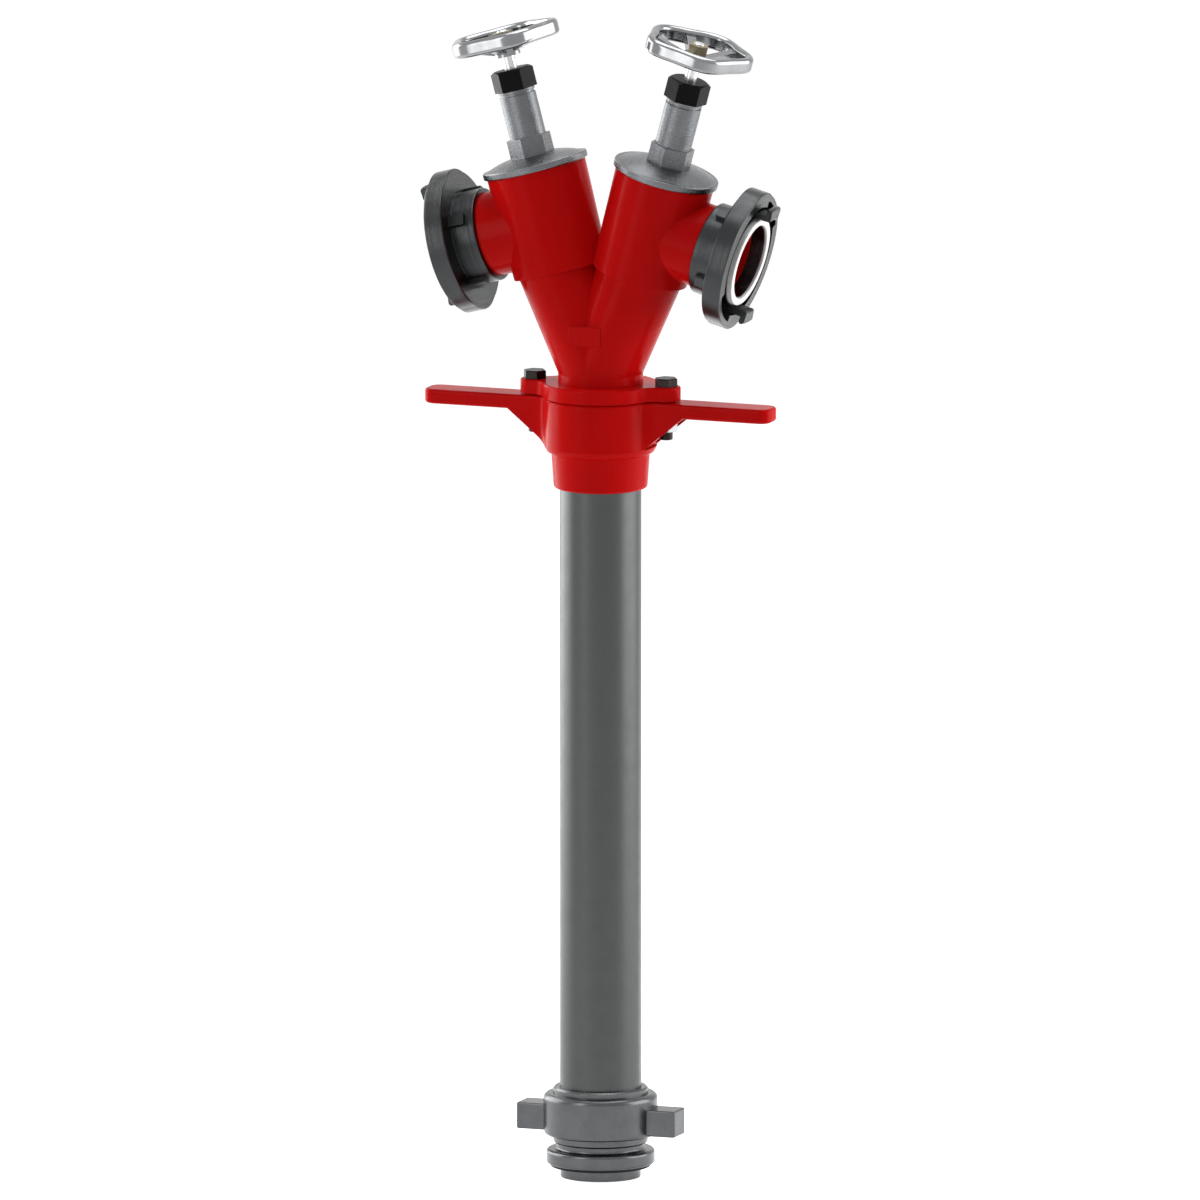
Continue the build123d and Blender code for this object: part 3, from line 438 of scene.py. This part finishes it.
pad_mesh = bpy.data.meshes.new("cast_pad")
slab = bmesh.new()
bmesh.ops.create_cube(slab, size=1.0)
for vertex in slab.verts:
    vertex.co = Vector([
        low + (at + 0.5) * (high - low) for low, at, high in zip(PAD_LOW, vertex.co, PAD_HIGH)])
bmesh.ops.bevel(
    slab, geom=slab.edges[:], offset=PAD_EDGE_ROUND, segments=PAD_EDGE_STEPS, affect="EDGES")
slab.to_mesh(pad_mesh)
slab.free()
pad = bpy.data.objects.new("cast_pad", pad_mesh)
bpy.context.collection.objects.link(pad)
pad.data.materials.append(red_enamel)
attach(pad, "head")
print("cast pad faces:", len(pad.data.polygons))

# %% [markdown]
# ## Floor, light and camera
# The floor and the world are white to the camera and to reflections, and softer as light, so
# that the background stays white while the lamps alone model the form.

# %% A helper that tells which rays see the white room
def sees_white(tree):
    rays = tree.nodes.new("ShaderNodeLightPath")
    camera_or_mirror = math_node(
        tree, "MAXIMUM", rays.outputs["Is Camera Ray"], rays.outputs["Is Glossy Ray"])
    return math_node(tree, "MAXIMUM", camera_or_mirror, rays.outputs["Is Transmission Ray"])


# %% [markdown]
# ### Floor
# A wide pale floor lies under the foot and takes its shadow. It glows for the rays that see
# the white room, so that floor and background run together.

# %% Floor
WHITE = (1, 1, 1, 1)
FLOOR_REACH = 6.0
FLOOR_COLOUR = (0.85, 0.85, 0.85, 1)
FLOOR_ROUGHNESS = 0.9
FLOOR_GLOW = 0.80

floor_mesh = bpy.data.meshes.new("floor")
corners = [(x * FLOOR_REACH, y * FLOOR_REACH, 0) for x, y in ((-1, -1), (1, -1), (1, 1), (-1, 1))]
floor_mesh.from_pydata(corners, [], [(0, 1, 2, 3)])
floor = bpy.data.objects.new("floor", floor_mesh)
bpy.context.collection.objects.link(floor)
pale = bpy.data.materials.new("pale floor")
pale.use_nodes = True
floor_shader = pale.node_tree.nodes["Principled BSDF"]
floor_shader.inputs["Base Color"].default_value = FLOOR_COLOUR
floor_shader.inputs["Roughness"].default_value = FLOOR_ROUGHNESS
floor_shader.inputs["Emission Color"].default_value = WHITE
glow = math_node(pale.node_tree, "MULTIPLY", sees_white(pale.node_tree), FLOOR_GLOW)
pale.node_tree.links.new(glow, floor_shader.inputs["Emission Strength"])
floor.data.materials.append(pale)
print("floor:", floor.dimensions[:])

# %% [markdown]
# ### The white room
# Round the object there is only white paper. The camera and the reflections see it at full
# white, so polished metal shows the room it stands in, but it gives little light of its own.

# %% World
ROOM_AS_LIGHT = 0.18
ROOM_AS_SEEN = 1.0

world = bpy.data.worlds.new("white room")
bpy.context.scene.world = world
world.use_nodes = True
nodes, links = world.node_tree.nodes, world.node_tree.links
background = nodes["Background"]
background.inputs["Color"].default_value = WHITE
seen = nodes.new("ShaderNodeMapRange")
seen.inputs["To Min"].default_value = ROOM_AS_LIGHT
seen.inputs["To Max"].default_value = ROOM_AS_SEEN
links.new(sees_white(world.node_tree), seen.inputs["Value"])
links.new(seen.outputs[0], background.inputs["Strength"])
print("world:", world.name)

# %% [markdown]
# ### Lamps
# Two large softboxes stand at the sides, a little behind the object, and brighten the flanks
# of every round form, so a pipe reads as round. A weak lamp in front keeps the middle from
# going dark, and one above picks out the flat tops.

# %% Lamps
SOFTBOXES = (
    dict(name="left softbox", place=(-2.6, 0.5, 0.9), aim=(0, 0, 0.6), size=(2.6, 2.8), power=96),
    dict(name="right softbox", place=(2.6, 1.0, 0.9), aim=(0, 0, 0.6), size=(2.6, 2.8), power=92),
    dict(name="front softbox", place=(-1.1, -2.3, 1.3), aim=(0, 0, 0.6), size=(0.9, 1.8), power=18),
    dict(name="top softbox", place=(0.1, 0.3, 2.6), aim=(0, 0, 0.8), size=(1.6, 1.6), power=34),
)


def lamp(name, place, aim, size, power):
    data = bpy.data.lights.new(name, "AREA")
    data.shape = "RECTANGLE"
    data.size, data.size_y = size
    data.energy = power
    obj = bpy.data.objects.new(name, data)
    obj.location = place
    obj.rotation_euler = (Vector(aim) - Vector(place)).to_track_quat("-Z", "Y").to_euler()
    bpy.context.collection.objects.link(obj)


for softbox in SOFTBOXES:
    lamp(**softbox)
print("lamps:", [softbox["name"] for softbox in SOFTBOXES])

# %% [markdown]
# ### Camera
# The view has no perspective: upright edges stay upright and both handles look equally long.
# So the camera is orthographic, turned a little to the right of the front and raised a little.

# %% Camera
CAMERA_TURN = math.radians(20.5)
CAMERA_RISE = math.radians(9.8)
CAMERA_AWAY = 4
CAMERA_SIGHT = 20
PICTURE_PIXELS = 1200
MM_PER_PIXEL = 0.92
MIDDLE_HEIGHT = 0.5294
MIDDLE_SHIFT = 0.00055

toward_camera = Vector((
    math.sin(CAMERA_TURN) * math.cos(CAMERA_RISE),
    -math.cos(CAMERA_TURN) * math.cos(CAMERA_RISE),
    math.sin(CAMERA_RISE),
))
image_right = Vector((math.cos(CAMERA_TURN), math.sin(CAMERA_TURN), 0))
middle = Vector((0, 0, MIDDLE_HEIGHT / math.cos(CAMERA_RISE))) - image_right * MIDDLE_SHIFT
camera_data = bpy.data.cameras.new("photo view")
camera_data.type = "ORTHO"
camera_data.ortho_scale = PICTURE_PIXELS * MM_PER_PIXEL / 1000
camera_data.clip_end = CAMERA_SIGHT
camera = bpy.data.objects.new("photo view", camera_data)
camera.location = middle + toward_camera * CAMERA_AWAY
camera.rotation_euler = (-toward_camera).to_track_quat("-Z", "Y").to_euler()
bpy.context.collection.objects.link(camera)
bpy.context.scene.camera = camera
bpy.context.scene.view_settings.view_transform = "Standard"
print("camera width in metres:", round(camera_data.ortho_scale, 3))
